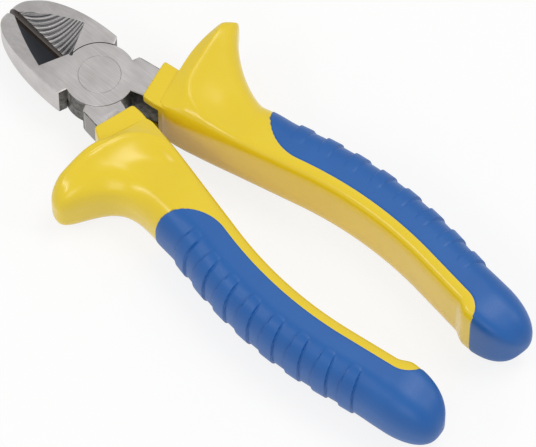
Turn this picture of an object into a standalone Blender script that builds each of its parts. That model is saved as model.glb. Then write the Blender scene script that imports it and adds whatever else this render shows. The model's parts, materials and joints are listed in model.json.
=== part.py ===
# Diagonal cutter with a riveted lap joint and two-component moulded grips.
# Run with: blender --background --python part.py
# The pivot axis is world Z, the jaws point to +X and the back face of the joint lies at z = 0.
# Each half is modelled as if the jaws were shut, then its pivot empty turns it to the rest opening.

import math

import bmesh
import bpy
import numpy as np

MM = 0.001
WELD_DISTANCE = 0.005 * MM

# Lap joint
HEAD_THICKNESS = 9.5 * MM
JOINT_RADIUS = 9.35 * MM
LAP_GAP = 0.3 * MM
TURNING_GAP = 0.15 * MM
ROUND_SEGMENTS = 64

# Rivet, countersunk into both faces of the joint
RIVET_HEAD_RADIUS = 5.5 * MM
RIVET_BODY_RADIUS = 4.0 * MM
RIVET_HEAD_DEPTH = 1.6 * MM
RIVET_GAP = 0.1 * MM

# How far the jaws stand open at rest, and the notch that stops them
REST_OPENING = math.radians(2.4)
JAW_SHOULDER_ANGLE = math.radians(69.0)
SHANK_SHOULDER_ANGLE = math.radians(111.6)

# Jaws
JAW_LENGTH = 32.8 * MM
JAW_WIDTH = 11.1 * MM
JAW_GAP = 0.3 * MM
JAW_POINTS = 16

# The front face falls away to the tip on a large arc that ends in a rounded nose
RELIEF_START = 9.0 * MM
RELIEF_RADIUS = 71.0 * MM
NOSE_LENGTH = 2.6 * MM
NOSE_DROP = 3.6 * MM
NOSE_OVERRUN = 0.2 * MM
NOSE_POINTS = 6

# Bevelled pocket in front of the cutting edge
POCKET_SETBACK = 0.25 * MM
POCKET_DEPTH = 7.7 * MM
POCKET_WALL_ANGLE = math.radians(25.0)
EDGE_RISE_ANGLE = math.radians(13.0)
BEVEL_ANGLE = math.radians(39.0)

# Shank: its axis leaves the joint at an angle and beside the pivot, and shows between joint and collar
SHANK_ANGLE = math.radians(12.5)
SHANK_OFFSET = 4.4 * MM
SHANK_BARE = 3.95 * MM
SHANK_ROOT_WIDTH = 11.4 * MM
SHANK_WIDTH = 8.9 * MM
SHANK_OVERLAP = 0.45 * MM

# Tang inside the grip, ending short of the grip's end
TANG_SETBACK = 28.5 * MM
TANG_TIP_WIDTH = 5.0 * MM
TANG_GAP = 0.2 * MM
TANG_POINTS = 14

# Path of a grip: straight along the shank, then a bend toward the other grip, then straight
BEND_START = 46.0 * MM
BEND_RADIUS = 113.0 * MM
BEND_ANGLE = math.radians(21.5)

# Grip section: flat inner side, round outer side
GRIP_LENGTH = 120.5 * MM
GRIP_THICKNESS = 19.8 * MM
GRIP_INNER = 7.9 * MM
GRIP_OUTER = 7.5 * MM
GRIP_OUTER_TAPER = 1.2 * MM
INNER_SQUARENESS = 8.0
OUTER_SQUARENESS = 2.4
RING_POINTS = 32
HANDLE_RINGS = 7

# Collar round the shank, and the hand guard behind it
COLLAR_OVERLAP = 3.4 * MM
COLLAR_WALL = 1.4 * MM
COLLAR_TOP_WALL = 2.6 * MM
COLLAR_FLARE = 2.0 * MM
WINDOW_SETBACK = 0.6 * MM
COLLAR_EDGE = 0.8 * MM
COLLAR_EDGE_SEGMENTS = 2
GUARD_START = 5.6 * MM
GUARD_ROUND = 3.0 * MM
GUARD_INNER_SWELL = 0.8 * MM
GUARD_REACH = 24.9 * MM
GUARD_HALF_LENGTH = 7.2 * MM
GUARD_FALL = 3.0
GUARD_SQUARENESS = 3.6
GUARD_RINGS = 5
FLARE_RINGS = 12

# Lip a little before the end of the core's inner strip, and the rounded butt behind it
LIP_SETBACK = 6.4 * MM
LIP_LENGTH = 4.5 * MM
LIP_STEP = 1.4 * MM
LIP_RINGS = 3
BUTT_LENGTH = 14.5 * MM
BUTT_SQUARENESS = 2.5
BUTT_RINGS = 12

# Soft cover: the outer side and the butt, with an inner strip of the core left bare
COVER_WALL = 1.8 * MM
COVER_GAP = 0.3 * MM
COVER_START = 31.4 * MM
COVER_ROUND = 12.5 * MM
STRIP_WIDTH = 2.9 * MM
STRIP_SETBACK = 13.1 * MM
STRIP_ROUND = 3.8 * MM
STRIP_POINTS = 10
CORNER_POINTS = 8

# Raised bands moulded across the outer side of the cover, as many as fit before the end of the strip
BAND_SETBACK = 7.9 * MM
BAND_LENGTH = 4.0 * MM
BAND_PITCH = 7.8 * MM
BAND_HEIGHT = 0.45 * MM
BAND_SLOPE = 0.5 * MM

# Cutters reach this far past what they cut
MARGIN = 2.0 * MM

HALF_HEAD = HEAD_THICKNESS / 2
HALF_GRIP = GRIP_THICKNESS / 2
TURNING_RADIUS = JOINT_RADIUS + TURNING_GAP
SHANK_LENGTH = JOINT_RADIUS + SHANK_BARE
TANG_LENGTH = GRIP_LENGTH - TANG_SETBACK
GUARD_PEAK = GUARD_START + GUARD_ROUND
COLLAR_LENGTH = GUARD_PEAK + COLLAR_OVERLAP
COLLAR_WINDOW = GUARD_START - WINDOW_SETBACK
STRIP_END = GRIP_LENGTH - STRIP_SETBACK
LIP_START = STRIP_END - LIP_SETBACK
BAND_FIRST = COVER_START + BAND_SETBACK
BAND_COUNT = int((STRIP_END - BAND_FIRST) / BAND_PITCH)


def clear_scene():
    for obj in list(bpy.data.objects):
        bpy.data.objects.remove(obj, do_unlink=True)


def make_collection(name, hidden):
    collection = bpy.data.collections.new(name)
    collection.hide_render = hidden
    bpy.context.scene.collection.children.link(collection)
    return collection


def make_material(name, colour, roughness, metallic):
    material = bpy.data.materials.new(name)
    material.use_nodes = True
    shader = material.node_tree.nodes["Principled BSDF"]
    shader.inputs["Base Color"].default_value = (*colour, 1.0)
    shader.inputs["Roughness"].default_value = roughness
    shader.inputs["Metallic"].default_value = metallic
    return material


def add_empty(name, parent, location, turn):
    empty = bpy.data.objects.new(name, None)
    empty.empty_display_size = JOINT_RADIUS
    empty.parent = parent
    empty.location = location
    empty.rotation_euler.z = turn
    PARTS.objects.link(empty)
    return empty


def add_mesh(name, mesh, parent, collection):
    obj = bpy.data.objects.new(name, mesh)
    obj.parent = parent
    collection.objects.link(obj)
    if collection is CUTTERS:
        obj.hide_render = True
        obj.display_type = "WIRE"
    return obj


def finish_part(obj, material):
    obj.data.materials.clear()
    obj.data.materials.append(material)
    return obj


def boolean(obj, operation, other):
    modifier = obj.modifiers.new(f"{operation.title()} {other.name}", "BOOLEAN")
    modifier.operation = operation
    modifier.object = other
    modifier.solver = "EXACT"


def face_outward(shape):
    shape.normal_update()
    bmesh.ops.recalc_face_normals(shape, faces=shape.faces)


# A flat outline, filled and extruded between two heights, as a mesh that Booleans can use
def slab_mesh(name, outline, bottom, top):
    curve = bpy.data.curves.new(name, "CURVE")
    curve.dimensions = "2D"
    curve.fill_mode = "BOTH"
    curve.extrude = (top - bottom) / 2
    spline = curve.splines.new("POLY")
    spline.points.add(len(outline) - 1)
    for point, (x, y) in zip(spline.points, outline):
        point.co = (x, y, 0.0, 1.0)
    spline.use_cyclic_u = True
    guide = bpy.data.objects.new(name, curve)
    CUTTERS.objects.link(guide)
    graph = bpy.context.evaluated_depsgraph_get()
    mesh = bpy.data.meshes.new_from_object(guide.evaluated_get(graph))
    bpy.data.objects.remove(guide)
    shape = bmesh.new()
    shape.from_mesh(mesh)
    bmesh.ops.remove_doubles(shape, verts=shape.verts, dist=WELD_DISTANCE)
    bmesh.ops.translate(shape, verts=shape.verts, vec=(0.0, 0.0, (top + bottom) / 2))
    face_outward(shape)
    shape.to_mesh(mesh)
    shape.free()
    return mesh


def cylinder_mesh(name, radius, bottom, top):
    shape = bmesh.new()
    bmesh.ops.create_cone(
        shape,
        cap_ends=True,
        segments=ROUND_SEGMENTS,
        radius1=radius,
        radius2=radius,
        depth=top - bottom,
    )
    bmesh.ops.translate(shape, verts=shape.verts, vec=(0.0, 0.0, (top + bottom) / 2))
    mesh = bpy.data.meshes.new(name)
    shape.to_mesh(mesh)
    shape.free()
    return mesh


# Closed rings of points joined into a tube with capped ends
def loft_mesh(name, rings):
    count = len(rings[0])
    shape = bmesh.new()
    loops = [[shape.verts.new(point) for point in ring] for ring in rings]
    for first, second in zip(loops, loops[1:]):
        for i in range(count):
            j = (i + 1) % count
            side = shape.faces.new((first[i], first[j], second[j], second[i]))
            side.smooth = True
    shape.faces.new(loops[0])
    shape.faces.new(loops[-1])
    face_outward(shape)
    mesh = bpy.data.meshes.new(name)
    shape.to_mesh(mesh)
    shape.free()
    return mesh


def polar(radius, angle):
    return (radius * math.cos(angle), radius * math.sin(angle))


# Turned rivet: the profile runs from the top face down its outer side to the bottom face
def rivet_profile(gap, overrun):
    head = RIVET_HEAD_RADIUS + gap
    body = RIVET_BODY_RADIUS + gap
    end = HALF_HEAD + overrun
    neck = HALF_HEAD - RIVET_HEAD_DEPTH
    profile = [(0.0, end), (head, end)]
    if overrun:
        profile.append((head, HALF_HEAD))
    profile.append((body, neck))
    lower = [(radius, -height) for radius, height in reversed(profile)]
    return profile + lower


def turned_mesh(name, profile):
    shape = bmesh.new()
    verts = [shape.verts.new((radius, 0.0, height)) for radius, height in profile]
    for first, second in zip(verts, verts[1:]):
        shape.edges.new((first, second))
    mesh = bpy.data.meshes.new(name)
    shape.to_mesh(mesh)
    shape.free()
    return mesh


def add_turned(name, profile, parent, collection):
    obj = add_mesh(name, turned_mesh(name, profile), parent, collection)
    screw = obj.modifiers.new("Turn", "SCREW")
    screw.steps = ROUND_SEGMENTS
    screw.render_steps = ROUND_SEGMENTS
    screw.use_merge_vertices = True
    screw.merge_threshold = WELD_DISTANCE
    screw.use_smooth_shade = True
    return obj


# Jaw outline: straight along the cutting edge, then a quarter ellipse back to the shoulder
def jaw_outline(side):
    edge = JAW_GAP / 2
    start = JAW_WIDTH / math.tan(JAW_SHOULDER_ANGLE)
    outline = [(0.0, edge), (JAW_LENGTH, edge)]
    first = math.asin(2 * edge / JAW_WIDTH)
    for angle in np.linspace(first, math.pi / 2, JAW_POINTS):
        x = start + (JAW_LENGTH - start) * math.cos(angle)
        outline.append((x, JAW_WIDTH * math.sin(angle)))
    return [(x, -side * y) for x, y in outline]


# Side view of what is cut from the front of the jaws: above the relief arc and round the nose
def relief_outline():
    nose_start = JAW_LENGTH - NOSE_LENGTH

    def arc_height(x):
        return HALF_HEAD - RELIEF_RADIUS + math.sqrt(RELIEF_RADIUS**2 - (x - RELIEF_START) ** 2)

    arc = [(x, arc_height(x)) for x in np.linspace(RELIEF_START, nose_start, NOSE_POINTS)]
    top = arc[-1][1]
    nose = []
    for angle in np.linspace(0.0, math.pi / 2, NOSE_POINTS)[1:]:
        x = nose_start + (NOSE_LENGTH + NOSE_OVERRUN) * math.sin(angle)
        nose.append((x, top - NOSE_DROP * (1 - math.cos(angle))))
    over = HALF_HEAD + MARGIN
    past = JAW_LENGTH + MARGIN
    return arc + nose + [(past, nose[-1][1]), (past, over), (RELIEF_START, over)]


# A cube sheared so that its floor is the bevel and its back is the upright wall of the pocket
def pocket_mesh(name, side):
    rise = math.tan(EDGE_RISE_ANGLE)
    lean = math.tan(POCKET_WALL_ANGLE)
    floor_x = np.array((1.0, 0.0, rise))
    floor_y = np.array((lean, 1.0, lean * rise + math.tan(BEVEL_ANGLE)))
    upward = np.array((0.0, 0.0, 1.0))
    corner = np.array((JOINT_RADIUS + POCKET_SETBACK, 0.0, HALF_HEAD - POCKET_DEPTH))
    corner = corner - MARGIN * floor_y
    shape = bmesh.new()
    bmesh.ops.create_cube(shape, size=1.0)
    for vert in shape.verts:
        along, across, up = (np.array(vert.co) + 0.5) * (JAW_LENGTH, JAW_WIDTH + 2 * MARGIN, JAW_LENGTH)
        x, y, z = corner + along * floor_x + across * floor_y + up * upward
        vert.co = (x, -side * y, z)
    face_outward(shape)
    mesh = bpy.data.meshes.new(name)
    shape.to_mesh(mesh)
    shape.free()
    return mesh


# Point on the grip path at a distance from the collar's front, moved outward by an offset
def path_point(along, offset):
    turned = min(max((along - BEND_START) / BEND_RADIUS, 0.0), BEND_ANGLE)
    straight = min(along, BEND_START)
    tail = max(along - BEND_START - BEND_RADIUS * BEND_ANGLE, 0.0)
    x = straight + BEND_RADIUS * math.sin(turned) + tail * math.cos(turned)
    y = -BEND_RADIUS * (1 - math.cos(turned)) - tail * math.sin(turned)
    return (x + offset * math.sin(turned), y + offset * math.cos(turned))


def smooth_step(value):
    value = min(max(value, 0.0), 1.0)
    return value * value * (3 - 2 * value)


# 1 at the guard's peak, 1/2 at its half length, and close to 0 where it has run out into the handle
def guard_flare(along):
    behind = max(along - GUARD_PEAK, 0.0)
    return 1 / (1 + (behind / GUARD_HALF_LENGTH) ** GUARD_FALL)


# Distances from the path to the inner side, outer side and top of the grip body
def grip_extents(along, inset):
    flare = guard_flare(along)
    taper = GRIP_OUTER_TAPER * smooth_step((along - BEND_START) / (STRIP_END - BEND_START))
    lip = LIP_STEP * smooth_step((along - LIP_START) / LIP_LENGTH)
    inner = GRIP_INNER + GUARD_INNER_SWELL * flare + lip
    outer = GRIP_OUTER - taper + (GUARD_REACH - GRIP_OUTER) * flare
    extents = np.array((inner, outer, HALF_GRIP)) - inset
    front = max((GUARD_PEAK - along) / GUARD_ROUND, 0.0)
    extents -= GUARD_ROUND * (1 - math.sqrt(max(1 - front**2, 0.0)))
    end = GRIP_LENGTH - inset
    butt = max((along - end + BUTT_LENGTH) / BUTT_LENGTH, 0.0)
    return extents * max(1 - butt**BUTT_SQUARENESS, 0.0) ** (1 / BUTT_SQUARENESS)


def signed_power(value, power):
    return math.copysign(abs(value) ** power, value)


# One ring of the grip body: a superellipse, squarer on its inner half than on its outer half
def grip_ring(along, inset, sunk, side):
    inner, outer, top = grip_extents(along, inset)
    outer_squareness = OUTER_SQUARENESS + (GUARD_SQUARENESS - OUTER_SQUARENESS) * guard_flare(along)
    middle = (outer - inner) / 2
    reach = (outer + inner) / 2
    ring = []
    for angle in np.linspace(0.0, 2 * math.pi, RING_POINTS, endpoint=False):
        across = math.cos(angle)
        squareness = outer_squareness if across > 0 else INNER_SQUARENESS
        offset = middle + reach * signed_power(across, 2 / squareness)
        height = top * signed_power(math.sin(angle), 2 / squareness)
        fade = smooth_step(across)
        x, y = path_point(along, offset - sunk * fade)
        ring.append((x, -side * y, height))
    return ring


# Where the rings of the grip body stand, from a start to just short of the end of the butt
def body_stations(start, end):
    guard = GUARD_PEAK - GUARD_ROUND * np.cos(np.linspace(0.0, math.pi / 2, GUARD_RINGS))
    flare = np.linspace(GUARD_PEAK, COVER_START, FLARE_RINGS)
    handle = np.linspace(COVER_START, LIP_START, HANDLE_RINGS)
    lip = np.linspace(LIP_START, LIP_START + LIP_LENGTH, LIP_RINGS)
    butt_angles = np.linspace(0.0, math.pi / 2, BUTT_RINGS, endpoint=False)
    butt = end - BUTT_LENGTH * (1 - np.sin(butt_angles))
    places = np.concatenate((guard, flare, handle, lip, butt))
    places = places[(places > start) & (places <= butt[-1])]
    return np.unique(np.append(places, start))


def body_mesh(name, side, start, inset):
    stations = body_stations(start, GRIP_LENGTH - inset)
    return loft_mesh(name, [grip_ring(along, inset, 0.0, side) for along in stations])


# The same body with the bands of the cover: full size on each band, sunk before it and after it
def banded_mesh(name, side):
    starts = BAND_FIRST + BAND_PITCH * np.arange(BAND_COUNT)
    ends = starts + BAND_LENGTH
    plain = body_stations(COVER_START - MARGIN, GRIP_LENGTH)
    clear = (plain < starts[0] - BAND_SLOPE) | (plain > ends[-1] + BAND_SLOPE)
    full_size = np.concatenate((plain[clear], starts + BAND_SLOPE, ends - BAND_SLOPE))
    stations = [(along, 0.0) for along in full_size]
    stations += [(along, BAND_HEIGHT) for along in np.concatenate((starts, ends))]
    return loft_mesh(name, [grip_ring(along, 0.0, sunk, side) for along, sunk in sorted(stations)])


# Half the width of the shank and tang, growing wider toward the joint and narrower toward the tip
def tang_half_width(along):
    if along < 0:
        return (SHANK_WIDTH - (SHANK_ROOT_WIDTH - SHANK_WIDTH) * along / SHANK_LENGTH) / 2
    share = smooth_step((along - COLLAR_LENGTH) / (TANG_LENGTH - COLLAR_LENGTH))
    return (SHANK_WIDTH + (TANG_TIP_WIDTH - SHANK_WIDTH) * share) / 2


def tang_sides(start, end, gap):
    places = np.linspace(start, end, TANG_POINTS)
    outer = [path_point(along, tang_half_width(along) + gap) for along in places]
    inner = [path_point(along, -tang_half_width(along) - gap) for along in places]
    return outer, inner


# Pivot and shoulder, seen from the collar's front along the shank
def from_pivot(x, y):
    along = -x * math.cos(SHANK_ANGLE) + y * math.sin(SHANK_ANGLE) - SHANK_LENGTH
    outward = x * math.sin(SHANK_ANGLE) + y * math.cos(SHANK_ANGLE) - SHANK_OFFSET
    return (along, outward)


def shoulder_radius():
    # The shoulder line from the pivot meets the outer side of the shank here
    step = from_pivot(*polar(JOINT_RADIUS, SHANK_SHOULDER_ANGLE))
    return JOINT_RADIUS + (tang_half_width(step[0]) - step[1]) / math.cos(
        SHANK_SHOULDER_ANGLE - math.pi / 2 - SHANK_ANGLE
    )


def shank_outline(side):
    outer, inner = tang_sides(0.0, TANG_LENGTH, 0.0)
    shoulder = from_pivot(*polar(shoulder_radius(), SHANK_SHOULDER_ANGLE))
    root = -SHANK_BARE - SHANK_OVERLAP
    inner_root = (root, -tang_half_width(root))
    outline = [from_pivot(0.0, 0.0), shoulder] + outer + inner[::-1] + [inner_root]
    return [(x, -side * y) for x, y in outline]


def socket_outline(side):
    outer, inner = tang_sides(-MARGIN, TANG_LENGTH + TANG_GAP, TANG_GAP)
    return [(x, -side * y) for x, y in outer + inner[::-1]]


# Collar in plan: square in front, its inner side parallel to the tool's centre line
def collar_outline(side):
    front = SHANK_WIDTH / 2 + COLLAR_WALL
    inner_back = front + COLLAR_LENGTH * math.tan(SHANK_ANGLE)
    outer_back = front + COLLAR_FLARE
    outline = [(0.0, -front), (COLLAR_LENGTH, -inner_back), (COLLAR_LENGTH, outer_back), (0.0, front)]
    return [(x, -side * y) for x, y in outline]


# The front of the collar leaves the inner side of the shank bare
def window_outline(side):
    beyond = SHANK_WIDTH + COLLAR_LENGTH
    outline = [(-MARGIN, 0.0), (COLLAR_WINDOW, 0.0), (COLLAR_WINDOW, -beyond), (-MARGIN, -beyond)]
    return [(x, -side * y) for x, y in outline]


# Plan of the cover: a round start behind the guard, the bare strip, then all of the butt
def cover_outline(side, gap):
    start = COVER_START + gap
    strip = STRIP_WIDTH + gap
    end = STRIP_END + gap
    round_end = start + COVER_ROUND
    past = GRIP_LENGTH + MARGIN
    beyond = GUARD_REACH + MARGIN
    outline = [path_point(start, beyond)]
    low = strip - GRIP_INNER
    for angle in np.linspace(0.0, math.pi / 2, CORNER_POINTS):
        along = round_end - COVER_ROUND * math.cos(angle)
        outline.append(path_point(along, low + (GRIP_OUTER - low) * (1 - math.sin(angle))))
    for along in np.linspace(round_end, end - STRIP_ROUND, STRIP_POINTS)[1:]:
        outline.append(path_point(along, low))
    for angle in np.linspace(0.0, math.pi / 2, CORNER_POINTS)[1:]:
        along = end - STRIP_ROUND + STRIP_ROUND * math.sin(angle)
        outline.append(path_point(along, low - STRIP_ROUND * (1 - math.cos(angle))))
    outline.append(path_point(end, -beyond))
    outline.append(path_point(past, -beyond))
    outline.append(path_point(past, beyond))
    return [(x, -side * y) for x, y in outline]


# side is +1 for the half whose handle lies at +Y and whose joint disc is the back one
def make_forging(name, side, pivot, shank_frame):
    layer = sorted((-side * LAP_GAP / 2, -side * HALF_HEAD))
    other_layer = sorted((-side * LAP_GAP / 2, side * (HALF_HEAD + MARGIN)))
    forging = add_mesh(name, cylinder_mesh(name, JOINT_RADIUS, *layer), pivot, PARTS)
    relief = cylinder_mesh(f"{name}_turning_space", TURNING_RADIUS, *other_layer)
    relief = add_mesh(relief.name, relief, pivot, CUTTERS)

    jaw = slab_mesh(f"{name}_jaw", jaw_outline(side), -HALF_HEAD, HALF_HEAD)
    jaw = add_mesh(jaw.name, jaw, pivot, CUTTERS)
    nose = slab_mesh(f"{name}_nose_cut", relief_outline(), -JAW_WIDTH - MARGIN, JAW_WIDTH + MARGIN)
    nose = add_mesh(nose.name, nose, pivot, CUTTERS)
    nose.rotation_euler.x = math.pi / 2
    pocket = add_mesh(f"{name}_pocket_cut", pocket_mesh(f"{name}_pocket_cut", side), pivot, CUTTERS)
    boolean(jaw, "DIFFERENCE", nose)
    boolean(jaw, "DIFFERENCE", pocket)
    boolean(jaw, "DIFFERENCE", relief)

    shank = slab_mesh(f"{name}_shank", shank_outline(side), -HALF_HEAD, HALF_HEAD)
    shank = add_mesh(shank.name, shank, shank_frame, CUTTERS)
    boolean(shank, "DIFFERENCE", relief)

    hole_profile = rivet_profile(RIVET_GAP, MARGIN)
    hole = add_turned(f"{name}_rivet_hole", hole_profile, pivot, CUTTERS)
    boolean(forging, "UNION", jaw)
    boolean(forging, "UNION", shank)
    boolean(forging, "DIFFERENCE", hole)
    return finish_part(forging, STEEL)


def make_core(name, side, shank_frame):
    core = add_mesh(name, body_mesh(name, side, GUARD_START, 0.0), shank_frame, PARTS)
    plan = slab_mesh(f"{name}_cover_space", cover_outline(side, 0.0), -HALF_GRIP - MARGIN, HALF_GRIP + MARGIN)
    plan = add_mesh(plan.name, plan, shank_frame, CUTTERS)
    inside = body_mesh(f"{name}_inside", side, COVER_START - MARGIN, COVER_WALL + COVER_GAP)
    inside = add_mesh(inside.name, inside, shank_frame, CUTTERS)

    half_height = HALF_HEAD + COLLAR_TOP_WALL
    collar = slab_mesh(f"{name}_collar", collar_outline(side), -half_height, half_height)
    collar = add_mesh(collar.name, collar, shank_frame, CUTTERS)
    rounding = collar.modifiers.new("Round edges", "BEVEL")
    rounding.width = COLLAR_EDGE
    rounding.segments = COLLAR_EDGE_SEGMENTS

    half_socket = HALF_HEAD + TANG_GAP
    socket = slab_mesh(f"{name}_socket", socket_outline(side), -half_socket, half_socket)
    socket = add_mesh(socket.name, socket, shank_frame, CUTTERS)
    window = slab_mesh(f"{name}_window", window_outline(side), -half_socket, half_socket)
    window = add_mesh(window.name, window, shank_frame, CUTTERS)
    boolean(core, "DIFFERENCE", plan)
    boolean(core, "UNION", inside)
    boolean(core, "UNION", collar)
    boolean(core, "DIFFERENCE", socket)
    boolean(core, "DIFFERENCE", window)
    return finish_part(core, YELLOW_PLASTIC)


def make_cover(name, side, shank_frame):
    cover = add_mesh(name, banded_mesh(name, side), shank_frame, PARTS)
    plan = slab_mesh(f"{name}_plan", cover_outline(side, COVER_GAP), -HALF_GRIP - MARGIN, HALF_GRIP + MARGIN)
    plan = add_mesh(plan.name, plan, shank_frame, CUTTERS)
    inside = body_mesh(f"{name}_inside", side, COVER_START - 2 * MARGIN, COVER_WALL)
    inside = add_mesh(inside.name, inside, shank_frame, CUTTERS)
    boolean(cover, "INTERSECT", plan)
    boolean(cover, "DIFFERENCE", inside)
    return finish_part(cover, BLUE_RUBBER)


# Pivot empty of a half, and below it an empty at the collar's front with X along the shank
def make_frames(label, side):
    centre = (0.0, 0.0, HALF_HEAD)
    pivot = add_empty(f"{label}_half_pivot", None, centre, -side * REST_OPENING / 2)
    along = (-math.cos(SHANK_ANGLE), side * math.sin(SHANK_ANGLE))
    outward = (math.sin(SHANK_ANGLE), side * math.cos(SHANK_ANGLE))
    place = [SHANK_LENGTH * a + SHANK_OFFSET * b for a, b in zip(along, outward)]
    turn = side * (math.pi - SHANK_ANGLE)
    return pivot, add_empty(f"{label}_shank_frame", pivot, (*place, 0.0), turn)


clear_scene()
PARTS = make_collection("Diagonal cutter", False)
CUTTERS = make_collection("Cutters", True)
STEEL = make_material("Ground steel", (0.54, 0.53, 0.52), 0.34, 1.0)
RIVET_STEEL = make_material("Rivet steel", (0.56, 0.55, 0.54), 0.32, 1.0)
YELLOW_PLASTIC = make_material("Yellow hard plastic", (0.87, 0.64, 0.03), 0.25, 0.0)
BLUE_RUBBER = make_material("Blue soft plastic", (0.03, 0.13, 0.42), 0.5, 0.0)

front_pivot, front_shank = make_frames("front", -1)
back_pivot, back_shank = make_frames("back", 1)

make_forging("front_forging", -1, front_pivot, front_shank)
make_forging("back_forging", 1, back_pivot, back_shank)
rivet = add_turned("pivot_rivet", rivet_profile(0.0, 0.0), front_pivot, PARTS)
finish_part(rivet, RIVET_STEEL)
make_core("far_grip_core", -1, front_shank)
make_cover("far_grip_cover", -1, front_shank)
make_core("near_grip_core", 1, back_shank)
make_cover("near_grip_cover", 1, back_shank)
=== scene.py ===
import json
import math

import bmesh
import bpy
import numpy as np
from mathutils import Matrix, Vector


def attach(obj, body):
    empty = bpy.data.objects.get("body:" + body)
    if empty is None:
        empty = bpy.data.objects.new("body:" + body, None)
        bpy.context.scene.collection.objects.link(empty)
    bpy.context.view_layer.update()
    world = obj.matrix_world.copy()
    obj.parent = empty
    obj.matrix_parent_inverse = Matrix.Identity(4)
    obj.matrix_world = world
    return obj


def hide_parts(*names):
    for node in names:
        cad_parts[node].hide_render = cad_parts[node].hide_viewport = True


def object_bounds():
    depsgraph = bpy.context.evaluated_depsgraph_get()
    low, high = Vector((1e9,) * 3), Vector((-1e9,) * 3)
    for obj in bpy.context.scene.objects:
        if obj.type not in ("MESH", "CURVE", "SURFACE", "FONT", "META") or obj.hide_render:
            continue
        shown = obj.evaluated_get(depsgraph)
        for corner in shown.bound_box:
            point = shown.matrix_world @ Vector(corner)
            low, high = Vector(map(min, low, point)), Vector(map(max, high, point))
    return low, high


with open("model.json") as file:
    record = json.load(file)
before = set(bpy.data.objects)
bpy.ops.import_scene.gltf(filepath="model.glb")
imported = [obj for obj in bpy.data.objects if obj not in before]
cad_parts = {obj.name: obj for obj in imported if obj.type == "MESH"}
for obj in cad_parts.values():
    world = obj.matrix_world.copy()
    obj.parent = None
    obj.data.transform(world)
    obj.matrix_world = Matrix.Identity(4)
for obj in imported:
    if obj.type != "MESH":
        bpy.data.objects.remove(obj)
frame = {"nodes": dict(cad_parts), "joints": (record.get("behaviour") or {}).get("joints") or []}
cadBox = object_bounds()
print("frame:", len(frame["nodes"]), "nodes loaded")

# sizes are in millimetres and degrees, as on a drawing, and meshes get metres
mm = 0.001
weldDistance = 2e-6  # metres; closer points are one
gridSliver = 2e-7  # metres; shorter edges of a grid come out
carvedSliver = 1e-6  # metres; shorter edges come out after a Boolean
sharpAngle = math.radians(38)
leastSize = 1e-6  # a size that closes to nothing is held at this before it divides
leastLevel = 1e-9  # and so is a slope or a share


def ramp(value, start, length):
    # an S curve from 0 at the start to 1 a length further on; a negative length runs it backwards
    share = np.clip((value - start) / length, 0.0, 1.0)
    return share * share * (3 - 2 * share)


def softMin(first, second, blend):
    # the smaller of two values, rounded over the given width where they cross
    near = np.maximum(blend - np.abs(first - second), 0.0) / blend
    return np.minimum(first, second) - near * near * blend / 4


def slopeOf(degrees):
    # rise over run of a slope at the given angle
    return math.tan(math.radians(degrees))


def circleFall(share):
    # how far a quarter circle of radius 1 has fallen at a share of its radius
    return 1 - np.sqrt(1 - share**2)


def quarterTurn(count):
    # angles over a quarter turn, both ends included
    return np.linspace(0.0, math.pi / 2, count)


def wholeTurn(count):
    # angles round a whole turn, the first not repeated
    return np.linspace(0.0, 2 * math.pi, count, endpoint=False)


def gridFaces(rows, columns, wrap):
    # quads between neighbouring rows and columns; wrap joins the last column to the first
    steps = columns if wrap else columns - 1
    row, column = np.meshgrid(np.arange(rows - 1), np.arange(steps), indexing="ij")
    here = row * columns + column
    beside = row * columns + (column + 1) % columns
    return np.stack((here, beside, beside + columns, here + columns), axis=-1).reshape(-1, 4)


def meshFrom(name, grid, wrap=True, capped=True):
    # a grid of points as a mesh; merging doubles closes its seam and poles, and caps close its ends
    rows, columns = grid.shape[:2]
    faces = gridFaces(rows, columns, wrap).tolist()
    if capped:
        faces += [list(range(columns)), list(range((rows - 1) * columns, rows * columns))]
    mesh = bpy.data.meshes.new(name)
    mesh.from_pydata((grid.reshape(-1, 3) * mm).tolist(), [], faces)
    shape = bmesh.new()
    shape.from_mesh(mesh)
    bmesh.ops.remove_doubles(shape, verts=shape.verts, dist=weldDistance)
    bmesh.ops.dissolve_degenerate(shape, edges=shape.edges, dist=gridSliver)
    bmesh.ops.recalc_face_normals(shape, faces=shape.faces)
    shape.to_mesh(mesh)
    shape.free()
    return mesh


def addPiece(name, mesh):
    piece = bpy.data.objects.new(name, mesh)
    bpy.context.scene.collection.objects.link(piece)
    return piece


def carve(mesh, operation, tool):
    # a Boolean of two closed meshes, applied at once;
    # many-sided faces are split, and slivers without area come out
    work = addPiece("work", mesh)
    cutter = addPiece("cutter", tool)
    boolean = work.modifiers.new("carve", "BOOLEAN")
    boolean.operation = operation
    boolean.object = cutter
    boolean.solver = "EXACT"
    graph = bpy.context.evaluated_depsgraph_get()
    result = bpy.data.meshes.new_from_object(work.evaluated_get(graph))
    bpy.data.objects.remove(work)
    bpy.data.objects.remove(cutter)
    shape = bmesh.new()
    shape.from_mesh(result)
    bmesh.ops.triangulate(shape, faces=[face for face in shape.faces if len(face.verts) > 4])
    bmesh.ops.dissolve_degenerate(shape, edges=shape.edges, dist=carvedSliver)
    shape.to_mesh(result)
    shape.free()
    return result


def turnedMesh(name, profile, segments):
    # a profile of radius and height, from axis to axis, carried round the rivet's axis
    radius, height = np.array(profile).T[:, :, None]
    angle = wholeTurn(segments)
    grid = np.stack((radius * np.cos(angle), radius * np.sin(angle), height + 0 * angle), axis=-1)
    return meshFrom(name, grid, capped=False)


joint = {
    "headThickness": 9.5,
    "discRadius": 9.35,
    "turningGap": 0.15,  # between a disc and the recess it turns in
    "lapGap": 0.06,  # between the two discs
    "edgeRound": 0.1,
    "segments": 192,
    "restOpening": -frame["joints"][0]["range_deg"][0],
    "rootStart": 0.05,  # jaw and shank begin this far from the rivet's axis
    "spare": 2.0,  # how far a cutter runs past what it cuts
}
halfHead = joint["headThickness"] / 2


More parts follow.
